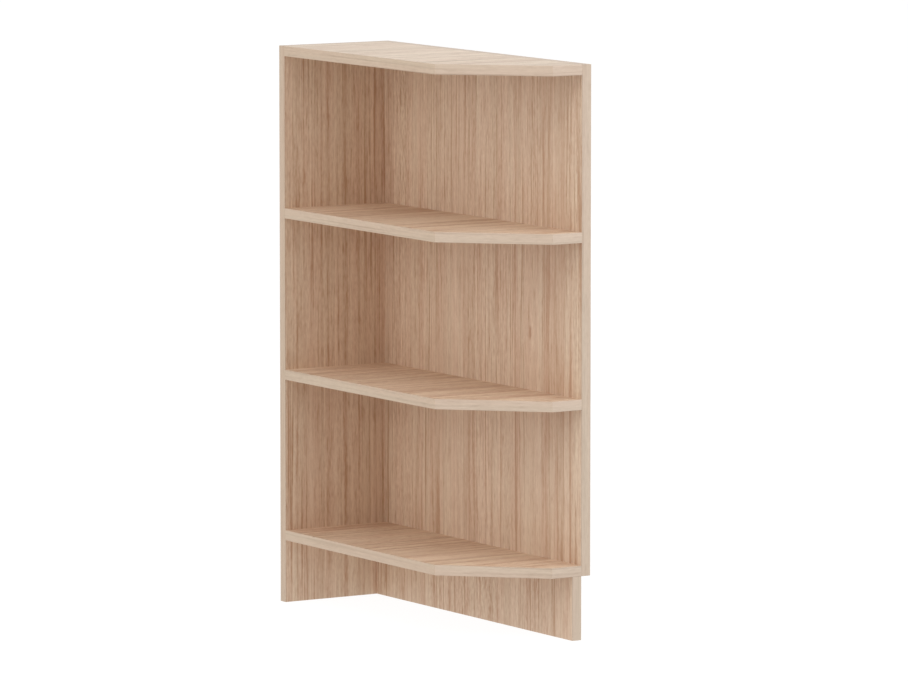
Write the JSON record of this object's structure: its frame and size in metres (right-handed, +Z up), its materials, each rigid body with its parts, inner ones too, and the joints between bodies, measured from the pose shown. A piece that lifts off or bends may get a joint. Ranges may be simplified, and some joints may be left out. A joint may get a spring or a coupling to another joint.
{
  "type": "corner bookcase",
  "caption": "Open corner bookcase: upright panels set in an L carry level shelves whose free front corner is cut off at an angle.",
  "frame": {"origin": "bottom centre of the bounding box, on the floor", "axes": "+Z up along the height, the open front faces -Y, the narrow back panel is at +Y and the deep side panel at +X"},
  "size_m": [0.2, 0.585, 0.876],
  "materials": {
    "board_laminate": "chipboard with a matt light ash wood decor",
    "edge_tape": "wood decor edge tape, matt",
    "screw_steel": "zinc-plated steel",
    "dowel_beech": "bare beech"
  },
  "bodies": {
    "root": {"back_panel": "board_laminate", "side_panel": "board_laminate", "plinth_board": "board_laminate", "bottom_board": "board_laminate", "lower_shelf": "board_laminate", "upper_shelf": "board_laminate", "top_board": "board_laminate", "back_panel_end_edging": "edge_tape", "back_panel_top_edging": "edge_tape", "side_panel_front_edging": "edge_tape", "side_panel_top_edging": "edge_tape", "side_panel_bottom_edging": "edge_tape", "plinth_front_edging": "edge_tape", "bottom_board_side_edging": "edge_tape", "bottom_board_bevel_edging": "edge_tape", "bottom_board_front_edging": "edge_tape", "lower_shelf_side_edging": "edge_tape", "lower_shelf_bevel_edging": "edge_tape", "lower_shelf_front_edging": "edge_tape", "upper_shelf_side_edging": "edge_tape", "upper_shelf_bevel_edging": "edge_tape", "upper_shelf_front_edging": "edge_tape", "top_board_side_edging": "edge_tape", "top_board_bevel_edging": "edge_tape", "top_board_front_edging": "edge_tape", "bottom_board_screws": "screw_steel", "lower_shelf_screws": "screw_steel", "upper_shelf_screws": "screw_steel", "top_board_screws": "screw_steel", "plinth_screw": "screw_steel", "plinth_dowels": "dowel_beech"}
  },
  "joints": []
}
